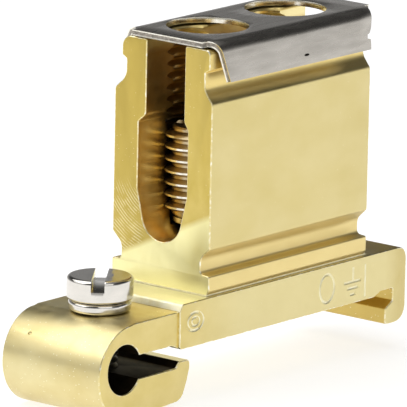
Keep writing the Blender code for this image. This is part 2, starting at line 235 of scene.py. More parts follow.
def rounded(corners):
    """An outline from corners (x, y) or (x, y, radius), each radius an arc tangent to both sides."""
    outline = []
    for i, corner in enumerate(corners):
        here = Vector(corner[:2])
        if len(corner) == 2:
            outline.append(tuple(here))
            continue
        before = (Vector(corners[i - 1][:2]) - here).normalized()
        after = (Vector(corners[(i + 1) % len(corners)][:2]) - here).normalized()
        half = before.angle(after) / 2
        centre = here + (before + after).normalized() * (corner[2] / math.sin(half))
        start = here + before * (corner[2] / math.tan(half)) - centre
        end = here + after * (corner[2] / math.tan(half)) - centre
        sweep = math.degrees(math.atan2(start.x * end.y - start.y * end.x, start.dot(end)))
        start_deg = math.degrees(math.atan2(start.y, start.x))
        outline += arc(centre, corner[2], start_deg, start_deg + sweep)
    return outline


def inset(outline, distance):
    """The outline moved inwards by distance, with mitred corners."""
    count = len(outline)
    area = sum(
        outline[i][0] * outline[(i + 1) % count][1] - outline[(i + 1) % count][0] * outline[i][1]
        for i in range(count)
    )
    side = 1 if area > 0 else -1
    moved = []
    for i, point in enumerate(outline):
        here = Vector(point)
        before = (here - Vector(outline[i - 1])).normalized()
        after = (Vector(outline[(i + 1) % count]) - here).normalized()
        normal_before = Vector((-before.y, before.x)) * side
        normal_after = Vector((-after.y, after.x)) * side
        middle = (normal_before + normal_after).normalized()
        moved.append(tuple(here + middle * (distance / max(0.5, middle.dot(normal_after)))))
    return moved


def new_object(name, shape, materials):
    bmesh.ops.remove_doubles(shape, verts=shape.verts, dist=0.0005 * MM)
    bmesh.ops.recalc_face_normals(shape, faces=shape.faces)
    mesh = bpy.data.meshes.new(name)
    shape.to_mesh(mesh)
    shape.free()
    thing = bpy.data.objects.new(name, mesh)
    bpy.context.scene.collection.objects.link(thing)
    for material in materials:
        mesh.materials.append(material)
    return thing


def prism(name, outline, low, high, along, materials=()):
    """A closed body of one outline with its two cut edges rounded.

    Along Y the outline is (x, z), and along X it is (y, z).
    """
    place = {"X": lambda a, b, c: (c, a, b), "Y": lambda a, b, c: (a, c, b)}[along]
    quarter = [math.radians(angle) for angle in (0, 30, 60, 90)]
    levels = [(low + EDGE * (1 - math.cos(t)), EDGE * (1 - math.sin(t))) for t in quarter]
    levels += [(high - EDGE * (1 - math.cos(t)), EDGE * (1 - math.sin(t))) for t in reversed(quarter)]
    shape = bmesh.new()
    rings = []
    for depth, step in levels:
        ring = inset(outline, step) if step > 1e-6 else outline
        rings.append([shape.verts.new(Vector(place(a, b, depth)) * MM) for a, b in ring])
    for ring, following in zip(rings, rings[1:]):
        for i in range(len(ring)):
            shape.faces.new((ring[i - 1], ring[i], following[i], following[i - 1]))
    shape.faces.new(rings[0])
    shape.faces.new(rings[-1])
    return new_object(name, shape, materials)


def turned(name, profile, centre, materials=(), closed=False, steps=ROUND_STEPS):
    """A profile of (radius, height) points turned around the upright axis through centre."""
    shape = bmesh.new()
    rings = []
    for radius, height in profile:
        ring = []
        for i in range(steps):
            angle = 2 * math.pi * i / steps
            x = centre[0] + radius * math.cos(angle)
            y = centre[1] + radius * math.sin(angle)
            ring.append(shape.verts.new(Vector((x, y, height)) * MM))
        rings.append(ring)
    pairs = list(zip(rings, rings[1:]))
    if closed:
        pairs.append((rings[-1], rings[0]))
    for ring, following in pairs:
        for i in range(steps):
            shape.faces.new((ring[i - 1], ring[i], following[i], following[i - 1]))
    return new_object(name, shape, materials)


def plug(name, radius, low, high, centre, materials=(), steps=ROUND_STEPS):
    """An upright cylinder that cuts a hole."""
    profile = [(0, high), (radius, high), (radius, low), (0, low)]
    return turned(name, profile, centre, materials, steps=steps)


def threaded(name, crest, root, pitch, low, high, end_radius, x, materials=(), steps=64):
    """A right-hand threaded rod standing at x, its ends turned down to end_radius at 45 degrees."""
    profile = [(0.0, root), (0.1, root), (0.25, (root + crest) / 2), (0.42, crest), (0.58, crest)]
    profile += [(0.75, (root + crest) / 2), (0.9, root)]
    shape = bmesh.new()
    rows = []
    for turn in range(math.floor(low / pitch) - 2, math.ceil(high / pitch) + 2):
        for share, radius in profile:
            row = []
            for i in range(steps):
                angle = 2 * math.pi * i / steps
                height = min(max((turn + share + i / steps) * pitch, low), high)
                reach = min(radius, end_radius + min(height - low, high - height))
                row.append(shape.verts.new(
                    Vector((x + reach * math.cos(angle), reach * math.sin(angle), height)) * MM))
            rows.append(row)
    per_turn = len(profile)
    for k in range(len(rows) - 1):
        below, above = rows[k], rows[k + 1]
        below_next = rows[min(k + per_turn, len(rows) - 1)][0]
        above_next = rows[min(k + 1 + per_turn, len(rows) - 1)][0]
        for i in range(steps):
            last = i == steps - 1
            corners = (
                below[i],
                below_next if last else below[i + 1],
                above_next if last else above[i + 1],
                above[i],
            )
            if len(set(corners)) == 4:
                shape.faces.new(corners)
    bmesh.ops.remove_doubles(shape, verts=shape.verts, dist=0.001 * MM)
    edges = [edge for edge in shape.edges if edge.is_boundary]
    bmesh.ops.holes_fill(shape, edges=edges)
    return new_object(name, shape, materials)


def box_body(name, size, centre, turn_deg=0.0, tilt_deg=0.0):
    """A box, tilted about X and then turned about Z."""
    shape = bmesh.new()
    bmesh.ops.create_cube(shape, size=MM)
    bmesh.ops.scale(shape, vec=size, verts=shape.verts)
    turn = Euler((math.radians(tilt_deg), 0, math.radians(turn_deg))).to_matrix()
    bmesh.ops.rotate(shape, matrix=turn, verts=shape.verts)
    bmesh.ops.translate(shape, vec=Vector(centre) * MM, verts=shape.verts)
    return new_object(name, shape, ())


def combine(thing, others, operation="DIFFERENCE"):
    """Cuts the others from thing, or joins them to it, and removes them."""
    for other in others:
        modifier = thing.modifiers.new(other.name, "BOOLEAN")
        modifier.operation = operation
        modifier.solver = "EXACT"
        modifier.object = other
    bake(thing)
    for other in others:
        bpy.data.objects.remove(other, do_unlink=True)


def bake(thing):
    """Turns an object's modifiers into its mesh."""
    graph = bpy.context.evaluated_depsgraph_get()
    mesh = bpy.data.meshes.new_from_object(thing.evaluated_get(graph))
    thing.modifiers.clear()
    thing.data = mesh


def soften(thing, width):
    """Rounds the sharp edges."""
    modifier = thing.modifiers.new("soften", "BEVEL")
    modifier.width = width * MM
    modifier.segments = 2
    modifier.limit_method = "ANGLE"
    modifier.angle_limit = math.radians(BEVEL_ANGLE_DEG)
    modifier.use_clamp_overlap = True
    bake(thing)


def keep_inside(thing):
    """Holds the finer rounding inside the CAD's box."""
    low, high = cad_box
    for vertex in thing.data.vertices:
        for axis in range(3):
            vertex.co[axis] = min(max(vertex.co[axis], low[axis]), high[axis])


def finish_piece(thing, body, nodes):
    """Shades a piece and puts it in its CAD nodes' place."""
    keep_inside(thing)
    thing.data.shade_smooth()
    thing.data.set_sharp_from_angle(angle=math.radians(SMOOTH_DEG))
    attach(thing, body)
    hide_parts(*nodes)


def paint(thing, choose):
    """Gives each face the material whose index choose(centre in millimetres, normal) returns."""
    for face in thing.data.polygons:
        face.material_index = int(choose(face.center / MM, face.normal))


# ---------------------------------------------------------------- metals


class Metal:
    """A Principled metal with short ways to add procedural detail. Sizes are in millimetres."""

    def __init__(self, name, colour, roughness):
        self.material = bpy.data.materials.new(name)
        self.material.use_nodes = True
        self.tree = self.material.node_tree
        self.shader = self.tree.nodes["Principled BSDF"]
        self.shader.inputs["Base Color"].default_value = (*colour, 1.0)
        self.shader.inputs["Roughness"].default_value = roughness
        self.shader.inputs["Metallic"].default_value = 1.0
        self.place = self.node("ShaderNodeTexCoord").outputs["Object"]
        self.colour = None
        self.normal = None

    def node(self, kind, **settings):
        node = self.tree.nodes.new(kind)
        for key, value in settings.items():
            setattr(node, key, value)
        return node

    def join(self, output, socket):
        self.tree.links.new(output, socket)

    def mapped(self, sizes, turn_deg=(0, 0, 0), shift=(0, 0, 0)):
        """Object coordinates measured in units of sizes, after a turn about the shifted origin."""
        moved = self.node("ShaderNodeMapping")
        moved.inputs["Location"].default_value = [-s * MM for s in shift]
        self.join(self.place, moved.inputs["Vector"])
        turned_place = self.node("ShaderNodeMapping")
        turned_place.inputs["Rotation"].default_value = [math.radians(a) for a in turn_deg]
        self.join(moved.outputs["Vector"], turned_place.inputs["Vector"])
        scaled = self.node("ShaderNodeMapping")
        scaled.inputs["Scale"].default_value = [1 / (s * MM) for s in sizes]
        self.join(turned_place.outputs["Vector"], scaled.inputs["Vector"])
        return scaled.outputs["Vector"]

    def noise(self, sizes, detail, turn_deg=(0, 0, 0)):
        texture = self.node("ShaderNodeTexNoise")
        texture.inputs["Scale"].default_value = 1.0
        texture.inputs["Detail"].default_value = detail
        self.join(self.mapped(sizes, turn_deg), texture.inputs["Vector"])
        return texture.outputs["Fac"]

    def pits(self, size, share):
        """1 inside sparse round pits and 0 around them."""
        texture = self.node("ShaderNodeTexVoronoi", feature="F1")
        texture.inputs["Scale"].default_value = 1.0
        self.join(self.mapped((size, size, size)), texture.inputs["Vector"])
        return self.ramp(texture.outputs["Distance"], (share * 0.5, 1.0), (share, 0.0))

    def ramp(self, factor, start, end):
        """Maps factor from start = (place, value) to end = (place, value), and holds both ends."""
        mapping = self.node("ShaderNodeMapRange")
        for key, value in zip(("From Min", "To Min", "From Max", "To Max"), (*start, *end)):
            mapping.inputs[key].default_value = value
        self.join(factor, mapping.inputs["Value"])
        return mapping.outputs["Result"]

    def along(self, axis, start, end, turn_deg=(0, 0, 0)):
        """0 at start and 1 at end, both in millimetres along an axis of the turned coordinates."""
        split = self.node("ShaderNodeSeparateXYZ")
        self.join(self.mapped((1, 1, 1), turn_deg), split.inputs["Vector"])
        return self.ramp(split.outputs[axis], (start, 0.0), (end, 1.0))

    def math(self, operation, first, second):
        node = self.node("ShaderNodeMath", operation=operation)
        for socket, value in zip(node.inputs, (first, second)):
            if isinstance(value, (int, float)):
                socket.default_value = value
            else:
                self.join(value, socket)
        return node.outputs["Value"]

    def colours(self, factor, stops):
        """Base colour from factor through stops of (place, colour)."""
        node = self.node("ShaderNodeValToRGB")
        elements = node.color_ramp.elements
        while len(elements) < len(stops):
            elements.new(0.5)
        for element, (place, colour) in zip(elements, stops):
            element.position = place
            element.color = (*colour, 1.0)
        self.join(factor, node.inputs["Fac"])
        self.colour = node.outputs["Color"]
        self.join(self.colour, self.shader.inputs["Base Color"])

    def blend(self, factor, colour):
        """Moves the base colour towards another one by factor."""
        mix = self.node("ShaderNodeMix", data_type="RGBA")
        sockets = {socket.identifier: socket for socket in mix.inputs}
        self.join(factor, sockets["Factor_Float"])
        self.join(self.colour, sockets["A_Color"])
        sockets["B_Color"].default_value = (*colour, 1.0)
        self.colour = next(socket for socket in mix.outputs if socket.identifier == "Result_Color")
        self.join(self.colour, self.shader.inputs["Base Color"])

    def roughness(self, factor, smooth, rough):
        self.join(self.ramp(factor, (0.3, smooth), (0.7, rough)), self.shader.inputs["Roughness"])

    def relief(self, height, depth):
        """Adds bumps of the given depth in millimetres on top of the relief so far."""
        node = self.node("ShaderNodeBump")
        node.inputs["Strength"].default_value = 1.0
        node.inputs["Distance"].default_value = depth * MM
        self.join(height, node.inputs["Height"])
        if self.normal:
            self.join(self.normal, node.inputs["Normal"])
        self.normal = node.outputs["Normal"]
        self.join(self.normal, self.shader.inputs["Normal"])


def drawn_brass():
    """The block's outside: satin with faint lines along the extrusion, rougher in the base moulding. The
    warmer colour below and above the flat wall is a painted reflection of the brass around the grooves, and
    the pale specks are painted glints.
    """
    metal = Metal("drawn_brass", (0.75, 0.64, 0.31), 0.32)
    cloud = metal.noise((7.0, 6.0, 5.0), 3.0)
    metal.colours(cloud, [(0.3, (0.685, 0.57, 0.245)), (0.7, (0.735, 0.625, 0.305))])
    # Painted reflection: a warmer, paler brass below the flat wall, in the base moulding and its groove
    moulding = metal.along("Z", WALL_BOTTOM + 0.2, WALL_BOTTOM - 0.3)
    metal.blend(moulding, (0.88, 0.72, 0.33))
    # Painted reflection: a warmer brass above the flat wall, on the flare, the neck groove and the head
    metal.blend(metal.along("Z", WALL_TOP - 0.1, WALL_TOP + 0.4), (0.84, 0.66, 0.26))
    # Painted glints: pale specks in the base colour
    metal.blend(metal.pits(0.8, 0.05), (0.95, 0.88, 0.6))
    grain = metal.ramp(metal.noise((2.5, 1.2, 1.2), 3.0), (0.3, 0.28), (0.7, 0.36))
    rougher = metal.ramp(moulding, (0, 0), (1, 0.16))
    metal.join(metal.math("ADD", grain, rougher), metal.shader.inputs["Roughness"])
    metal.relief(metal.noise((9.0, 0.10, 0.10), 2.0), 0.0008)
    metal.relief(metal.noise((0.12, 0.12, 0.12), 2.0), 0.0014)
    metal.relief(metal.pits(1.3, 0.05), 0.010)
    return metal.material


def sawn_brass():
    """The block's cut ends: milling arcs and slanting scratches above, smoother near the base, and paler
    there with painted light, the light that the strip and the neck below throw up onto the end. The pale
    specks are painted glints.
    """
    metal = Metal("sawn_brass", (0.68, 0.53, 0.16), 0.34)
    cloud = metal.noise((2.5, 2.0, 3.0), 4.0)
    metal.colours(cloud, [(0.3, (0.60, 0.455, 0.11)), (0.7, (0.69, 0.54, 0.165))])
    metal.blend(metal.ramp(metal.along("Z", 15.0, 25.0), (0, 0), (1, 0.8)), (0.60, 0.455, 0.12))
    metal.blend(metal.ramp(metal.along("Y", 0.5, 3.0), (0, 0), (1, 0.6)), (0.54, 0.40, 0.09))
    # Painted light: paler near the base, below a slanting line, where the strip and the neck throw light up
    # onto the end
    metal.blend(metal.along("Z", 9.5, 8.8, SAWN_SLANT), (0.98, 0.91, 0.47))
    milled = metal.along("Z", 8.8, 9.4, SAWN_SLANT)
    rings = metal.node("ShaderNodeTexWave", wave_type="RINGS", rings_direction="X", wave_profile="SAW")
    rings.inputs["Scale"].default_value = 1.0
    rings.inputs["Distortion"].default_value = 1.2
    rings.inputs["Detail"].default_value = 3.0
    metal.join(metal.mapped((1, 1, 1), shift=MILLING_CENTRE), rings.inputs["Vector"])
    lower = metal.math("MULTIPLY", metal.along("Z", 18.5, 13.5), metal.along("Y", 0.5, 3.0))
    broken = metal.ramp(metal.noise((1.2, 1.2, 1.2), 3.0), (0.30, 0.45), (0.55, 1.0))
    arcs = metal.math("MULTIPLY", rings.outputs["Fac"], broken)
    ridges = metal.math("MULTIPLY", arcs, metal.math("MULTIPLY", lower, milled))
    metal.blend(metal.ramp(ridges, (0.5, 0.0), (0.9, 0.75)), (0.95, 0.87, 0.52))
    # Painted glints: pale specks in the base colour
    metal.blend(metal.pits(0.55, 0.08), (0.97, 0.90, 0.58))
    metal.roughness(metal.noise((1.0, 0.6, 1.6), 3.0), 0.30, 0.42)
    scratches = metal.math("MULTIPLY", metal.noise((0.5, 0.07, 2.5), 2.0, (38, 0, 0)), milled)
    metal.relief(scratches, 0.012)
    metal.relief(ridges, 0.012)
    metal.relief(metal.noise((0.10, 0.10, 0.10), 2.0), 0.0020)
    return metal.material


def milled_brass():
    """The foot's two sides: flat and satin, paler along the middle and deeper on the hook."""
    metal = Metal("milled_brass", (0.77, 0.65, 0.28), 0.34)
    cloud = metal.noise((3.0, 2.0, 2.5), 4.0)
    metal.colours(cloud, [(0.3, (0.68, 0.55, 0.205)), (0.7, (0.75, 0.62, 0.265))])
    metal.blend(metal.ramp(metal.along("X", -18.0, -8.0), (0, 0), (1, 0.75)), (0.76, 0.67, 0.36))
    metal.blend(metal.ramp(metal.along("X", 16.0, 18.5), (0, 0), (1, 0.6)), (0.58, 0.46, 0.17))
    # Painted glints: pale specks in the base colour
    metal.blend(metal.pits(0.7, 0.05), (0.95, 0.9, 0.66))
    metal.roughness(metal.noise((1.0, 0.6, 1.0), 3.0), 0.28, 0.38)
    metal.relief(metal.noise((0.12, 0.5, 1.5), 2.0, (0, 20, 0)), 0.0016)
    metal.relief(metal.noise((0.10, 0.10, 0.10), 2.0), 0.0018)
    return metal.material


def bored_brass_painted_shade():
    """Slot, chamber and tapped holes: smooth, in a deeper orange that paints the light bounced between the
    brass walls, with painted shade darkening the slot and, near black, the chamber away from the open ends,
    and a painted highlight at the top of the tapped holes.
    """
    metal = Metal("bored_brass_painted_shade", (0.80, 0.55, 0.18), 0.34)
    cloud = metal.noise((4.0, 4.0, 3.0), 3.0)
    metal.colours(cloud, [(0.3, (0.92, 0.64, 0.18)), (0.7, (1.0, 0.76, 0.29))])
    # Painted shade: darker from the chamber's top up through the slot, under the strap
    metal.blend(metal.ramp(metal.along("Z", 20.5, 24.0), (0, 0), (1, 0.6)), (0.36, 0.22, 0.07))
    # Painted shade: near black deep in the chamber, away from its open ends
    split = metal.node("ShaderNodeSeparateXYZ")
    metal.join(metal.mapped((1, 1, 1)), split.inputs["Vector"])
    inner = metal.ramp(metal.math("ABSOLUTE", split.outputs["X"], 0), (8.2, 0.9), (9.8, 0.0))
    metal.blend(metal.math("MULTIPLY", inner, metal.along("Z", 24.0, 21.0)), (0.05, 0.03, 0.01))
    # Painted highlight: bright at the top of the tapped holes
    metal.blend(metal.along("Z", 28.8, 29.6), (0.95, 0.82, 0.42))
    metal.roughness(metal.noise((1.2, 1.2, 1.2), 2.0), 0.30, 0.42)
    metal.relief(metal.noise((6.0, 0.15, 0.15), 2.0), 0.0015)
    return metal.material


def painted_shade_brass():
    """Inside the jaw's slot and the relief hole: brass painted near black, painted shade."""
    metal = Metal("painted_shade_brass", (0.03, 0.022, 0.012), 0.55)
    cloud = metal.noise((1.5, 1.5, 1.5), 2.0)
    metal.colours(cloud, [(0.3, (0.02, 0.014, 0.008)), (0.7, (0.045, 0.032, 0.016))])
    return metal.material


def worn_brass():
    """Cut edges, where the burr is rubbed bright in places."""
    metal = Metal("worn_brass", (0.85, 0.75, 0.40), 0.28)
    cloud = metal.noise((0.5, 0.5, 0.5), 4.0)
    metal.colours(cloud, [(0.48, (0.80, 0.68, 0.32)), (0.66, (1.0, 0.96, 0.78))])
    metal.relief(metal.noise((0.22, 0.22, 0.22), 2.0), 0.010)
    return metal.material


def coined_brass_and_highlight():
    """Coined lines, the burr along the block's base and the step beside it, all pale cream: on the burr and
    the step a painted highlight, on the struck lines partly bright struck metal and partly a painted
    highlight.
    """
    metal = Metal("coined_brass_and_highlight", (0.97, 0.91, 0.66), 0.55)
    cloud = metal.noise((0.8, 0.8, 0.8), 3.0)
    metal.colours(cloud, [(0.3, (0.93, 0.86, 0.56)), (0.7, (1.0, 0.96, 0.74))])
    return metal.material


def rolled_brass():
    """The foot's faces around its outline: pitted, with painted glints in the pits, deeper on neck and
    hook, and pale beside the block as a painted highlight on the strip there.
    """
    metal = Metal("rolled_brass", (0.84, 0.73, 0.36), 0.30)
    cloud = metal.noise((5.0, 5.0, 4.0), 3.0)
    metal.colours(cloud, [(0.3, (0.71, 0.59, 0.275)), (0.7, (0.81, 0.71, 0.39))])
    metal.blend(metal.along("X", 13.0, 16.0), (0.66, 0.50, 0.16))
    neck = metal.math("MULTIPLY", metal.along("X", -22.0, -19.5),
                      metal.along("X", FOOT_LEFT, FOOT_LEFT - 0.2))
    metal.blend(metal.ramp(neck, (0, 0), (1, 0.6)), (0.52, 0.40, 0.12))
    # Painted highlight: the strip between the step and the block, pale
    lit_strip = metal.math("MULTIPLY", metal.along("X", FOOT_LEFT - 0.1, FOOT_LEFT),
                       metal.along("X", block_low.x + 0.1, block_low.x))
    metal.blend(lit_strip, (0.86, 0.82, 0.62))
    # Painted glints: pale specks in the pits
    metal.blend(metal.pits(0.45, 0.14), (1.0, 0.97, 0.76))
    metal.roughness(metal.noise((1.4, 1.4, 1.4), 4.0), 0.34, 0.44)
    metal.relief(metal.noise((0.16, 0.16, 0.16), 3.0), 0.0040)
    metal.relief(metal.noise((0.12, 5.0, 0.12), 2.0), 0.0014)
    metal.relief(metal.pits(0.45, 0.14), 0.008)
    return metal.material


def bright_steel():
    """The strap: cold-rolled steel with fine marks along its length."""
    metal = Metal("bright_steel", (0.53, 0.52, 0.50), 0.27)
    streaks = metal.noise((5.0, 0.9, 0.9), 3.0)
    metal.colours(streaks, [(0.3, (0.42, 0.395, 0.355)), (0.7, (0.52, 0.49, 0.445))])
    metal.roughness(metal.noise((3.0, 0.5, 0.5), 3.0), 0.24, 0.32)
    metal.relief(metal.noise((3.0, 0.10, 0.10), 2.0), 0.0006)
    metal.relief(metal.pits(1.6, 0.05), 0.008)
    return metal.material


def sheared_steel():
    """The middle of the strap's cut edges, torn dark by the punch."""
    metal = Metal("sheared_steel", (0.16, 0.14, 0.12), 0.5)
    cloud = metal.noise((0.3, 0.3, 0.3), 2.0)
    metal.colours(cloud, [(0.35, (0.22, 0.20, 0.17)), (0.65, (0.42, 0.38, 0.33))])
    return metal.material


def worn_steel_and_highlight():
    """Cut rims of the strap and the crests of the clamp screws' threads, near white: partly wear and partly
    a painted highlight.
    """
    metal = Metal("worn_steel_and_highlight", (0.92, 0.90, 0.84), 0.22)
    cloud = metal.noise((0.5, 0.5, 0.5), 2.0)
    metal.colours(cloud, [(0.35, (0.76, 0.72, 0.60)), (0.65, (0.95, 0.92, 0.83))])
    metal.relief(metal.noise((0.3, 0.3, 0.3), 2.0), 0.004)
    return metal.material


def screw_steel():
    """Clamp screws: yellow-passivated steel with brown in the thread's grooves."""
    metal = Metal("screw_steel", (0.50, 0.40, 0.24), 0.28)
    cloud = metal.noise((1.6, 1.6, 1.6), 2.0)
    metal.colours(cloud, [(0.3, (0.44, 0.34, 0.19)), (0.7, (0.58, 0.48, 0.31))])
    metal.relief(metal.noise((0.4, 0.4, 0.1), 2.0), 0.001)
    return metal.material


def steel_painted_shade():
    """The rail screw's thread and the nick in the strap's lip, painted near black as painted shade."""
    metal = Metal("steel_painted_shade", (0.06, 0.055, 0.05), 0.45)
    cloud = metal.noise((0.8, 0.8, 0.8), 2.0)
    metal.colours(cloud, [(0.3, (0.04, 0.036, 0.03)), (0.7, (0.09, 0.08, 0.07))])
    return metal.material


def nickel_plate():
    """Rail screw and washer: polished nickel with faint turning marks."""
    metal = Metal("nickel_plate", (0.84, 0.82, 0.80), 0.13)
    cloud = metal.noise((2.0, 2.0, 1.0), 2.0)
    metal.colours(cloud, [(0.3, (0.69, 0.665, 0.615)), (0.7, (0.77, 0.735, 0.68))])
    metal.roughness(metal.noise((0.8, 0.8, 0.4), 2.0), 0.10, 0.18)
    metal.relief(metal.noise((0.6, 0.6, 0.05), 1.0), 0.0010)
    return metal.material


# ---------------------------------------------------------------- pieces


def middle_outline():
    """The foot's middle and its hook, from the step at the neck around to the rail seat."""
    return rounded(
        [
            (FOOT_LEFT - STEP_LENGTH, NECK_TOP - 0.6),
            (FOOT_LEFT - STEP_LENGTH, NECK_TOP, 0.15),
            (FOOT_LEFT, FOOT_TOP, 0.4),
            (foot_high.x, FOOT_TOP, 1.3),
            (foot_high.x, HOOK_BOTTOM, 1.7),
            (HOOK_LIP_FACE, HOOK_BOTTOM, 0.4),
            (HOOK_LIP_FACE, HOOK_LIP_TOP, 0.15),
            (POCKET_WALL, -0.85, 0.15),
            (POCKET_WALL, POCKET_TOP, 0.25),
            (POCKET_LEFT, POCKET_TOP, 0.5),
            (SEAT_RIGHT, 0.0, 0.6),
            (FOOT_LEFT, 0.0, 0.15),
            (FOOT_LEFT - STEP_LENGTH, 0.25),
        ]
    )


def neck_outline():
    """The neck, the rolled end and the jaw, around the slot that parts the jaw from the neck."""
    roll = arc(ROLL_CENTRE, ROLL_RADIUS, 90, 262)
    slot_meets_relief = math.degrees(math.asin((NECK_UNDERSIDE - RELIEF_CENTRE[1]) / RELIEF_RADIUS))
    floor_meets_relief = math.degrees(math.asin((JAW_FLOOR - RELIEF_CENTRE[1]) / RELIEF_RADIUS))
    relief = arc(RELIEF_CENTRE, RELIEF_RADIUS, 360 + floor_meets_relief, slot_meets_relief)
    jaw = rounded(
        [
            roll[-1],
            (JAW_TIP - 1.2, JAW_BOTTOM, 1.5),
            (JAW_TIP - 0.4, -3.5, 1.0),
            (JAW_TIP, -2.2, 0.8),
            (JAW_TIP, NOSE_TOP, 0.5),
            (NOSE_BACK, NOSE_TOP, 0.25),
            (NOSE_BACK - 0.6, JAW_FLOOR, 0.3),
            relief[0],
        ]
    )
    upper = rounded(
        [
            relief[-1],
            (FOOT_LEFT - 1.3, NECK_UNDERSIDE, 0.4),
            (FOOT_LEFT - 0.1, 0.05),
            (FOOT_LEFT + 1.5, 0.05),
            (FOOT_LEFT + 1.5, NECK_TOP),
            (ROLL_CENTRE[0] + 0.5, NECK_TOP),
        ]
    )
    return roll[:-1] + jaw[:-1] + relief[:-1] + upper


def block_half(shift, head_edge):
    """One side of the clamp block's section, from its base up and over the head to the chamber's floor."""
    floor_centre = (0, CHAMBER_FLOOR + CHAMBER_FLOOR_RADIUS)
    floor = arc(floor_centre, CHAMBER_FLOOR_RADIUS, -8, -90)
    side = rounded(
        [
            (0, BLOCK_BASE),
            (FLANGE_BASE_HALF, BLOCK_BASE, 0.15),
            (BLOCK_HALF_WIDTH, BLOCK_BASE + 0.55, 0.25),
            (BLOCK_HALF_WIDTH, FLANGE_TOP, 0.2),
            (BASE_GROOVE_HALF, FLANGE_TOP + 0.1, 0.45),
            (BASE_GROOVE_HALF, BASE_GROOVE_TOP, 1.1),
            (BLOCK_HALF_WIDTH, WALL_BOTTOM, 0.4),
            (BLOCK_HALF_WIDTH, WALL_TOP, 0.7),
            (NECK_GROOVE_HALF + shift, NECK_GROOVE_BOTTOM, 1.7),
            (NECK_GROOVE_HALF + shift, NECK_GROOVE_TOP, 0.15),
            (HEAD_HALF_WIDTH + shift, HEAD_BOTTOM, 0.2),
            (HEAD_HALF_WIDTH + shift, block_high.z, head_edge),
            (SLOT_HALF_WIDTH + shift, block_high.z, 0.25),
            (SLOT_HALF_WIDTH + shift, SLOT_BOTTOM, 0.8),
            (CHAMBER_HALF_WIDTH, CHAMBER_TOP, 0.4),
            (CHAMBER_HALF_WIDTH, CHAMBER_WALL_BOTTOM, 0.8),
            floor[0],
        ]
    )
    return side[1:] + floor[1:-1]


def make_block(metals):
    near = [(-y, z) for y, z in reversed(block_half(-HEAD_SHIFT_Y, NEAR_HEAD_EDGE))]
    outline = block_half(HEAD_SHIFT_Y, FAR_HEAD_EDGE) + [(0, CHAMBER_FLOOR)] + near
    block = prism("brass_block", outline, block_low.x, block_high.x, "X", metals)
    tap_bottom = screw_low.z - TAP_RUNOUT
    cutters = []
    for number in (1, 2):
        x = middle_x(f"clamp_screw_{number}")
        cutters.append(threaded(f"tap_{number}", M8_CREST + THREAD_GAP, M8_ROOT + THREAD_GAP, M8_PITCH,
                                tap_bottom, TAP_TOP, M8_ROOT, x, steps=48))
        cutters.append(plug(f"drill_{number}", DRILL_POINT_RADIUS, tip_low.z - TAP_RUNOUT, tap_bottom + 1.0,
                            (x, 0)))
    combine(block, cutters)
    wide = RIVET_RADIUS + RIVET_FLARE
    rivet = [
        (0, BLOCK_BASE + RIVET_ROOT),
        (RIVET_RADIUS, BLOCK_BASE + RIVET_ROOT),
        (RIVET_RADIUS, RIVET_FLARE + SEAT_GAP),
        (wide - 0.1, SEAT_GAP + 0.1),
        (wide - 0.2, SEAT_GAP + 0.02),
        (wide - 0.5, SEAT_GAP),
        (0, SEAT_GAP),
    ]
    added = [turned(f"rivet_{number}", rivet, (x, 0)) for number, x in enumerate(RIVET_X, 1)]
    burr_size = (2 * (block_high.x + BURR_REACH), 2 * BURR_HALF_WIDTH, BURR_HEIGHT)
    added.append(box_body("base_burr", burr_size, (0, 0, BLOCK_BASE + BURR_HEIGHT / 2)))
    combine(block, added, "UNION")

    def choose(centre, normal):
        # The burr gets the pale coined material, a painted highlight along the block's base
        if BLOCK_BASE - 0.01 < centre.z < BLOCK_BASE + BURR_HEIGHT + 0.01 and normal.z > -0.5:
            return COINED_AND_HIGHLIGHT
        if abs(centre.x) > block_high.x - EDGE:
            return CUT_FACE if abs(normal.x) > FACING else CUT_EDGE
        # Inside faces get the bored material, with its painted shade and highlight
        inside = abs(centre.y) < BORE_HALF_WIDTH and CHAMBER_FLOOR - 0.3 < centre.z < block_high.z - 0.3
        return INSIDE if inside else OUTSIDE

    paint(block, choose)
    finish_piece(block, "clamp", ["clamp_block"])


def ring_groove(name, centre, half_width, half_height, width):
    """A groove cutter: an oval ring standing in the foot's near face."""
    bpy.ops.mesh.primitive_torus_add(
        major_radius=half_height * MM, minor_radius=width * MM / 2, major_segments=48, minor_segments=12)
    ring = bpy.context.object
    ring.name = name
    ring.data.transform(Euler((math.radians(90), 0, 0)).to_matrix().to_4x4())
    ring.data.transform(Matrix.Diagonal((half_width / half_height, 1, 1, 1)))
    ring.data.transform(Matrix.Translation(Vector((centre[0], foot_low.y - MARK_RISE, centre[1])) * MM))
    return ring


def bar_groove(name, start, end, width):
    """A groove cutter: a rounded bar lying in the foot's near face, from start to end = (x, z)."""
    a = Vector((start[0], foot_low.y - MARK_RISE, start[1]))
    b = Vector((end[0], foot_low.y - MARK_RISE, end[1]))
    shape = bmesh.new()
    bmesh.ops.create_cone(shape, cap_ends=True, segments=12, radius1=width * MM / 2, radius2=width * MM / 2,
                          depth=(b - a).length * MM)
    turn = (b - a).to_track_quat("Z", "Y").to_matrix()
    bmesh.ops.rotate(shape, matrix=turn, verts=shape.verts)
    bmesh.ops.translate(shape, vec=(a + b) / 2 * MM, verts=shape.verts)
    return new_object(name, shape, ())


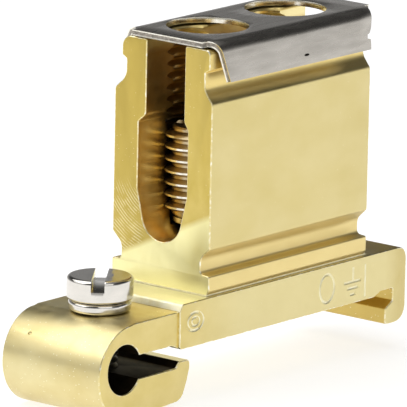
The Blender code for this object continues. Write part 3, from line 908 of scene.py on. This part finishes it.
def make_foot(metals):
    foot = prism("brass_foot", middle_outline(), foot_low.y, foot_high.y, "Y", metals)
    neck = prism("neck", neck_outline(), -NECK_HALF_WIDTH, NECK_HALF_WIDTH, "Y")
    combine(foot, [neck], "UNION")
    screw_x = middle_x("rail_screw")
    cutters = [plug("neck_hole", NECK_HOLE_RADIUS, NECK_HOLE_BOTTOM, NECK_HOLE_TOP, (screw_x, 0))]
    cutters.append(threaded("jaw_tap", M4_CREST + THREAD_GAP, M4_ROOT + THREAD_GAP, M4_PITCH,
                            JAW_TAP_BOTTOM, JAW_TAP_TOP, M4_ROOT, screw_x, steps=40))
    shank = RIVET_RADIUS + 0.05
    flare = RIVET_FLARE + 2 * SEAT_GAP
    seat = [
        (0, RIVET_SEAT_TOP),
        (shank, RIVET_SEAT_TOP),
        (shank, flare),
        (shank + flare, 0),
        (shank + flare, RIVET_SEAT_BOTTOM),
        (0, RIVET_SEAT_BOTTOM),
    ]
    for number, x in enumerate(RIVET_X, 1):
        cutters.append(turned(f"rivet_seat_{number}", seat, (x, 0)))
    cutters += coined_marks()
    cutters.append(ball("dent", ROLL_DENT, (DENT_RADIUS, DENT_RADIUS, DENT_RADIUS)))
    combine(foot, cutters)

    def choose(centre, normal):
        from_relief = math.hypot(centre.x - RELIEF_CENTRE[0], centre.z - RELIEF_CENTRE[1])
        in_slot = (RELIEF_CENTRE[0] < centre.x < NOSE_BACK + 0.1
                   and JAW_FLOOR - 0.1 < centre.z < NECK_UNDERSIDE + 0.1)
        # The slot and the relief hole get the near-black material, painted shade
        if abs(centre.y) < NECK_HALF_WIDTH - EDGE and (from_relief < RELIEF_RADIUS + 0.05 or in_slot):
            return INSIDE
        # The step beside the block gets the pale coined material, a painted highlight
        on_step = FOOT_LEFT - 0.5 < centre.x < block_low.x and centre.z > NECK_TOP + 0.1
        if on_step and abs(normal.y) < 0.5:
            return COINED_AND_HIGHLIGHT
        if abs(normal.y) > FACING and abs(centre.y) > NECK_HALF_WIDTH - 0.05:
            return CUT_FACE
        in_mark = 0.3 < centre.z < 4.2 and foot_low.y + 0.01 < centre.y < foot_low.y + 0.2
        if in_mark and abs(normal.y) < 0.99:
            return COINED_AND_HIGHLIGHT
        return CUT_EDGE if abs(centre.y) > NECK_HALF_WIDTH - EDGE else OUTSIDE

    paint(foot, choose)
    finish_piece(foot, "clamp", ["rail_foot"])


def coined_marks():
    """Grooves in the foot's near face: a double ring, an oval, the earth symbol and a gauge line."""
    ring_centre = (-15.4, 2.65)
    return [
        ring_groove("ring_outer", ring_centre, 1.25, 0.95, 0.40),
        ring_groove("ring_inner", ring_centre, 0.62, 0.45, 0.34),
        ring_groove("oval", (6.25, 2.35), 1.2, 1.5, 0.42),
        bar_groove("earth_stem", (10.6, 2.35), (10.6, 3.9), 0.38),
        bar_groove("earth_wide", (9.1, 2.35), (12.0, 2.35), 0.38),
        bar_groove("earth_middle", (9.65, 1.68), (11.55, 1.68), 0.38),
        bar_groove("earth_short", (10.15, 1.0), (11.1, 1.0), 0.38),
        bar_groove("gauge_line", (12.65, 0.4), (12.65, 3.9), 0.30),
    ]


def ball(name, centre, radii):
    """A rounded cutter for a dent or a nick."""
    shape = bmesh.new()
    bmesh.ops.create_uvsphere(shape, u_segments=16, v_segments=10, radius=MM)
    bmesh.ops.scale(shape, vec=radii, verts=shape.verts)
    bmesh.ops.translate(shape, vec=Vector(centre) * MM, verts=shape.verts)
    return new_object(name, shape, ())


def strap_rows():
    """The strap's outer face from front to back lip, in rows of (y, z, left length, right length)."""
    lip, bend, flat = STRAP_LIP_HALF_LENGTH, STRAP_BEND_HALF_LENGTH, STRAP_FLAT_HALF_LENGTH
    end = STRAP_LIP_END_HALF_LENGTH
    front = arc((STRAP_FRONT_Y + STRAP_FRONT_BEND, strap_high.z - STRAP_FRONT_BEND), STRAP_FRONT_BEND,
                180 - STRAP_FRONT_SPLAY_DEG, 90)
    back = arc((STRAP_BACK_Y - STRAP_BACK_BEND, strap_high.z - STRAP_BACK_BEND), STRAP_BACK_BEND, 90, 0)
    bend_y, bend_z = front[0]
    slope = math.tan(math.radians(STRAP_FRONT_SPLAY_DEG))
    rows = []
    # The front lip's right end is torn, so it steps in half way up
    lip_heights = (strap_low.z, 27.9, 28.25, 28.35, 28.75, 28.85, 29.4)
    right_halves = (end - 0.1, end, end, end - 0.45, end - 0.4, end - 0.05, lip - 0.25)
    for height, right in zip(lip_heights, right_halves):
        left = end + (lip - end) * ((height - strap_low.z) / (bend_z - strap_low.z))
        rows.append((bend_y - (bend_z - height) * slope, height, left, right))
    for i, (y, z) in enumerate(front):
        half = lip + (bend - lip) * i / (len(front) - 1)
        rows.append((y, z, half, half))
    front_y = front[-1][0] + STRAP_NOTCH
    back_y = back[0][0] - STRAP_NOTCH
    for share in (0, 0.004, 0.1, 0.25, 0.5, 0.75, 0.9, 0.996, 1):
        half = flat if 0 < share < 1 else bend + 0.1
        rows.append((front_y + (back_y - front_y) * share, strap_high.z, half, half))
    for i, (y, z) in enumerate(back):
        half = bend + (end - bend) * i / (len(back) - 1)
        rows.append((y, z, half, half))
    rows.append((STRAP_BACK_Y, strap_low.z, end, end))
    return rows


def tear_rim(strap):
    """Sinks the middle of the strap's cut edge, which leaves a bright line along each side of it."""
    shape = bmesh.new()
    shape.from_mesh(strap.data)
    rim = [face for face in shape.faces if face.material_index == RIM]
    bmesh.ops.inset_region(
        shape, faces=rim, thickness=RIM_LINE * MM, depth=-RIM_DEPTH * MM, use_even_offset=True)
    for face in rim:
        face.material_index = TORN
    shape.to_mesh(strap.data)
    shape.free()


def make_strap(metals):
    shape = bmesh.new()
    rows = []
    for y, z, left, right in strap_rows():
        ends = (STRAP_SHIFT_X - left, STRAP_SHIFT_X + right)
        row = [ends[0] + (ends[1] - ends[0]) * i / STRAP_COLUMNS for i in range(STRAP_COLUMNS + 1)]
        rows.append([shape.verts.new(Vector((x, y, z)) * MM) for x in row])
    for row, following in zip(rows, rows[1:]):
        for i in range(len(row) - 1):
            shape.faces.new((row[i], row[i + 1], following[i + 1], following[i]))
    strap = new_object("steel_strap", shape, metals)
    solidify = strap.modifiers.new("thickness", "SOLIDIFY")
    solidify.thickness = STRAP_THICKNESS * MM
    solidify.offset = -1.0
    solidify.use_even_offset = True
    solidify.material_offset_rim = RIM
    bake(strap)
    tear_rim(strap)
    cutters = []
    for number in (1, 2):
        centre = (middle_x(f"clamp_screw_{number}"), HEAD_SHIFT_Y)
        cutters.append(plug(f"strap_hole_{number}", STRAP_HOLE_RADIUS, STRAP_HOLE_BOTTOM, STRAP_HOLE_TOP,
                            centre, [metals[RIM]]))
    combine(strap, cutters)
    soften(strap, 0.09)
    # The nick gets the near-black steel, painted shade in the dent
    nick = ball("nick", LIP_NICK, LIP_NICK_RADII)
    nick.data.materials.append(metals[SHADE])
    combine(strap, [nick])
    finish_piece(strap, "clamp", ["cap_strap"])


def make_clamp_screws(metals):
    for number in (1, 2):
        node = f"clamp_screw_{number}"
        x = middle_x(node)
        screw = threaded(f"threaded_screw_{number}", M8_CREST, M8_ROOT, M8_PITCH, screw_low.z, screw_high.z,
                         M8_CREST - SCREW_END_CUT, x, metals)
        slot = box_body("driver_slot", DRIVER_SLOT, (x, 0, screw_high.z), -30 + 50 * number)
        bore = plug("tip_bore", TIP_BORE_RADIUS, TIP_BORE_BOTTOM, TIP_BORE_TOP, (x, 0), steps=48)
        combine(screw, [slot, bore])
        # The crests get the near-white steel, partly wear and partly a painted highlight
        paint(screw, lambda centre, normal: math.hypot(centre.x - x, centre.y) > M8_CREST - 0.04)
        finish_piece(screw, f"clamp_screw_{number}_shank", [node])


def make_tips(metal):
    for number in (1, 2):
        node = f"pressure_tip_{number}"
        radius = (tip_high.x - tip_low.x) / 2
        seat = screw_low.z - SEAT_GAP
        stem = TIP_BORE_RADIUS - 0.05
        profile = [(0, tip_high.z), (stem - 0.15, tip_high.z), (stem, tip_high.z - 0.15)]
        profile += [(stem, seat + 0.05), (stem + 0.05, seat)]
        profile += arc((radius - 0.1, seat - 0.1), 0.1, 90, 0)
        profile += arc((radius - 0.3, tip_low.z + 0.3), 0.3, 0, -90)
        profile += [(1.2, tip_low.z), (0.9, tip_low.z + 0.12), (0, tip_low.z + 0.15)]
        tip = turned(f"turned_tip_{number}", profile, (middle_x(node), 0), [metal])
        finish_piece(tip, f"clamp_screw_{number}_tip", [node])


def make_rail_screw(metals):
    x = middle_x("rail_screw")
    radius = (rail_screw_high.x - rail_screw_low.x) / 2
    top = rail_screw_high.z
    head_bottom = washer_high.z + SEAT_GAP
    foot_rounding = HEAD_FOOT_ROUNDING
    profile = [(0, top), (1.5, top), (radius - 0.6, top)]
    profile += arc((radius - HEAD_ROUNDING, top - HEAD_ROUNDING), HEAD_ROUNDING, 90, 0)
    profile += [(radius, head_bottom + 0.6)]
    profile += arc((radius - foot_rounding, head_bottom + foot_rounding), foot_rounding, 0, -90)
    profile += [(M4_CREST - 0.05, head_bottom), (M4_CREST - 0.1, SHANK_TOP + 0.1)]
    profile += [(M4_ROOT, SHANK_TOP - 0.3), (0, SHANK_TOP - 0.3)]
    head = turned("cheese_head_screw", profile, (x, 0), metals, steps=128)
    combine(head, [box_body("slot", HEAD_SLOT, (x, 0, top), HEAD_SLOT_TURN_DEG)])
    soften(head, 0.10)
    shank = threaded("shank", M4_CREST, M4_ROOT, M4_PITCH, rail_screw_low.z, SHANK_TOP,
                     M4_ROOT - 0.1, x, steps=40)
    combine(head, [shank], "UNION")
    # The thread below the neck gets the near-black steel, painted shade
    paint(head, lambda centre, normal: centre.z < NECK_UNDERSIDE)
    finish_piece(head, "rail_screw_shank", ["rail_screw"])


def make_washer(metal):
    """A split ring of rounded section, its ends a little apart."""
    x = middle_x("spring_washer")
    inner = WASHER_INNER_RADIUS
    outer = (washer_high.x - washer_low.x) / 2
    low, high = washer_low.z, washer_high.z
    section = rounded([(inner, high, 0.15), (outer, high, 0.4), (outer, low, 0.4), (inner, low, 0.15)])
    washer = turned("split_washer", section, (x, 0), [metal], closed=True)
    angle = math.radians(WASHER_SPLIT_TURN_DEG)
    middle = (inner + outer) / 2
    place = (x + middle * math.cos(angle), middle * math.sin(angle), (low + high) / 2)
    split = box_body("split", WASHER_SPLIT, place, WASHER_SPLIT_TURN_DEG, WASHER_SPLIT_TILT_DEG)
    combine(washer, [split])
    soften(washer, 0.05)
    finish_piece(washer, "rail_screw_washer", ["spring_washer"])


# ---------------------------------------------------------------- studio


CAMERA_AZIMUTH = -0.885751
CAMERA_ELEVATION = 0.225323
CAMERA_ROLL = 0.0203862
CAMERA_UNIT = 1.2 * MM
CAMERA_ASIDE = 3.58209
CAMERA_UP = 11.0702
CAMERA_BACK = 700.0
CAMERA_LENS = 719.79
CAMERA_SHIFT_X = 10.8
FLOOR_GAP = 0.1
SCENE_MIDDLE = Vector((-2.0, 0.0, 12.0)) * MM


def make_camera():
    """A long lens on the near side, towards the rolled end and a little above."""
    azimuth, elevation = CAMERA_AZIMUTH, CAMERA_ELEVATION
    back = Vector((
        math.sin(azimuth) * math.cos(elevation),
        -math.cos(azimuth) * math.cos(elevation),
        math.sin(elevation),
    ))
    right = Vector((math.cos(azimuth), math.sin(azimuth), 0))
    up = back.cross(right)
    camera = bpy.data.objects.new("camera", bpy.data.cameras.new("camera"))
    bpy.context.scene.collection.objects.link(camera)
    place = right * CAMERA_ASIDE + up * CAMERA_UP + back * CAMERA_BACK
    camera.location = (place - Vector((CAMERA_SHIFT_X, 0, 0))) * CAMERA_UNIT
    across = right * math.cos(CAMERA_ROLL) + up * math.sin(CAMERA_ROLL)
    upward = -right * math.sin(CAMERA_ROLL) + up * math.cos(CAMERA_ROLL)
    turn = Matrix((across, upward, back)).transposed()
    camera.rotation_mode = "QUATERNION"
    camera.rotation_quaternion = turn.to_quaternion()
    camera.data.sensor_width = 36.0
    camera.data.lens = CAMERA_LENS
    camera.data.clip_start = 0.01
    camera.data.clip_end = 10.0
    bpy.context.scene.camera = camera


def softbox(name, direction, distance, size, radiance):
    """A soft panel that faces the clamp. Its radiance is what a mirror would show of it."""
    light = bpy.data.lights.new(name, "AREA")
    light.shape = "RECTANGLE"
    light.size, light.size_y = size
    light.energy = radiance * math.pi * size[0] * size[1]
    panel = bpy.data.objects.new(name, light)
    away = Vector(direction).normalized()
    panel.location = SCENE_MIDDLE + away * distance
    panel.rotation_mode = "QUATERNION"
    panel.rotation_quaternion = away.to_track_quat("Z", "Y")
    panel.visible_camera = False
    bpy.context.scene.collection.objects.link(panel)


def make_floor():
    """White paper that also gives off light of its own."""
    floor_z = cad_box[0].z - FLOOR_GAP * MM
    bpy.ops.mesh.primitive_plane_add(size=6.0, location=(0, 0, floor_z))
    floor = bpy.context.object
    floor.name = "floor"
    material = bpy.data.materials.new("floor_paper")
    material.use_nodes = True
    shader = material.node_tree.nodes["Principled BSDF"]
    shader.inputs["Base Color"].default_value = (0.5, 0.5, 0.5, 1)
    shader.inputs["Emission Color"].default_value = (1, 1, 1, 1)
    shader.inputs["Emission Strength"].default_value = 0.72
    shader.inputs["Roughness"].default_value = 0.9
    shader.inputs["Specular IOR Level"].default_value = 0.1
    floor.data.materials.append(material)


def make_world():
    """A grey room that is darkest at mid height."""
    world = bpy.data.worlds.new("studio")
    bpy.context.scene.world = world
    world.use_nodes = True
    tree = world.node_tree
    place = tree.nodes.new("ShaderNodeTexCoord")
    split = tree.nodes.new("ShaderNodeSeparateXYZ")
    ramp = tree.nodes.new("ShaderNodeValToRGB")
    tree.links.new(place.outputs["Generated"], split.inputs[0])
    tree.links.new(split.outputs["Z"], ramp.inputs["Fac"])
    elements = ramp.color_ramp.elements
    stops = [(0.0, 0.6), (0.15, 0.40), (0.32, 0.10), (0.45, 0.04), (0.75, 0.06), (1.0, 0.5)]
    while len(elements) < len(stops):
        elements.new(0.5)
    for element, (position, grey) in zip(elements, stops):
        element.position = position
        element.color = (grey, grey, grey, 1)
    tree.links.new(ramp.outputs["Color"], tree.nodes["Background"].inputs["Color"])


def make_lights():
    softbox("overhead", (-0.25, 0.35, 0.9), 0.6, (0.75, 0.75), 1.7)
    softbox("back_left", (-0.72, 0.62, 0.52), 0.5, (0.4, 0.30), 1.0)
    softbox("right_front", (0.75, -0.65, 0.08), 0.5, (0.5, 0.14), 0.55)
    softbox("front", (-0.4, -0.75, 0.55), 0.6, (0.5, 0.4), 1.1)


bpy.context.scene.view_settings.view_transform = "Standard"
worn = worn_brass()
crest = worn_steel_and_highlight()
nickel = nickel_plate()
shade_steel = steel_painted_shade()
coined_and_highlight = coined_brass_and_highlight()
make_block([drawn_brass(), sawn_brass(), bored_brass_painted_shade(), worn, coined_and_highlight])
make_foot([rolled_brass(), milled_brass(), painted_shade_brass(), worn, coined_and_highlight])
make_strap([bright_steel(), sheared_steel(), crest, shade_steel])
make_clamp_screws([screw_steel(), crest])
make_tips(crest)
make_rail_screw([nickel, shade_steel])
make_washer(nickel)
make_camera()
make_floor()
make_world()
make_lights()
